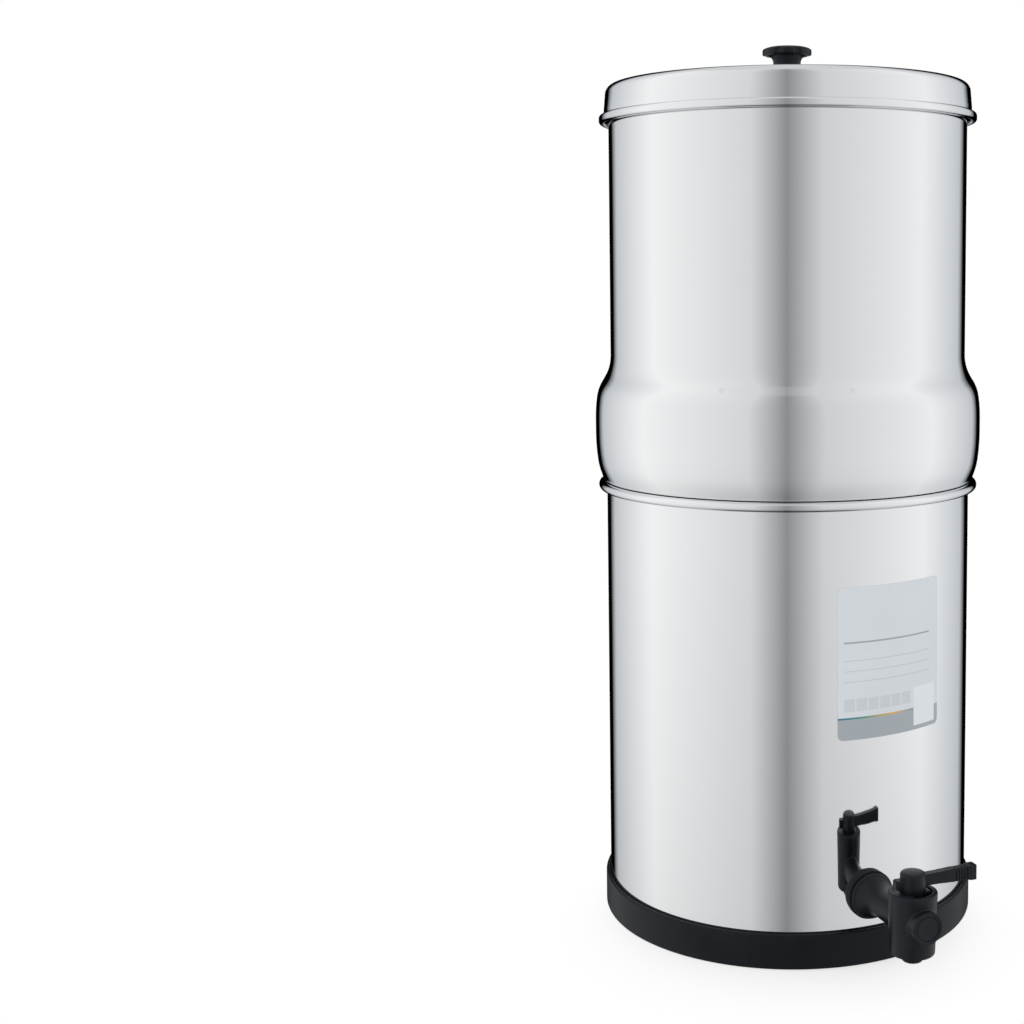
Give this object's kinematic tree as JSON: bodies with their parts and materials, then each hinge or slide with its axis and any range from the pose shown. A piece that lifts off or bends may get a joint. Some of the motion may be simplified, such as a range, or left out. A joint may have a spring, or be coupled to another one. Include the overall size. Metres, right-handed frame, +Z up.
{
  "type": "gravity water filter with tap",
  "caption": "Tall two-chamber stainless gravity water filter: knobbed lid, bulged upper chamber with filter candles nested in a lower tank on a rubber ring, with a black quarter-turn tap.",
  "frame": {"origin": "centre of the base ring's foot, on the surface the filter stands on, on the chambers' common axis", "axes": "+Z up along the chambers' axis, -Y towards the tap, +X to the right for someone facing the tap"},
  "size_m": [0.2544, 0.32, 0.5704],
  "materials": {
    "polished_steel": "polished stainless steel",
    "black_rubber": "satin black rubber",
    "black_plastic": "satin moulded plastic",
    "white_plastic": "moulded food-grade plastic",
    "seal_rubber": "soft sealing rubber",
    "ceramic_shell": "unglazed porous ceramic",
    "carbon_block": null,
    "brass": "turned",
    "screw_steel": "bright stainless",
    "label_film": "satin printed film, bare of words"
  },
  "bodies": {
    "tank": {"base_ring": "black_rubber", "lower_chamber": "polished_steel", "front_label": "label_film", "tap_body": "black_plastic", "tap_badge": "black_plastic", "tap_outer_washer": "seal_rubber", "tap_inner_washer": "seal_rubber", "tap_nut": "black_plastic", "tap_bonnet": "black_plastic"},
    "lever": {"tap_plug": "black_plastic", "plug_rings": "seal_rubber", "tap_lever": "black_plastic"},
    "upper": {"upper_chamber": "polished_steel", "candle_mount_1": "white_plastic", "candle_shell_1": "ceramic_shell", "candle_core_1": "carbon_block", "candle_mount_2": "white_plastic", "candle_shell_2": "ceramic_shell", "candle_core_2": "carbon_block", "candle_seals": "seal_rubber", "candle_wing_nuts": "white_plastic", "stoppers": "white_plastic", "stopper_seals": "seal_rubber", "stopper_nuts": "white_plastic"},
    "cover": {"lid": "polished_steel", "lid_knob": "black_plastic", "knob_insert": "brass", "knob_screw": "screw_steel", "knob_washer": "screw_steel"}
  },
  "joints": [
    {"name": "tap_lever_turn", "type": "hinge", "parent": "tank", "child": "lever", "pos_m": [0, -0.1742, 0.0436], "axis": [0, 0, -1], "range_deg": [0, 90]},
    {"name": "upper_lift", "type": "slide", "parent": "tank", "child": "upper", "axis": [0, 0, 1], "range_m": [0, 0.08]},
    {"name": "lid_lift", "type": "slide", "parent": "upper", "child": "cover", "axis": [0, 0, 1], "range_m": [0, 0.06]}
  ]
}
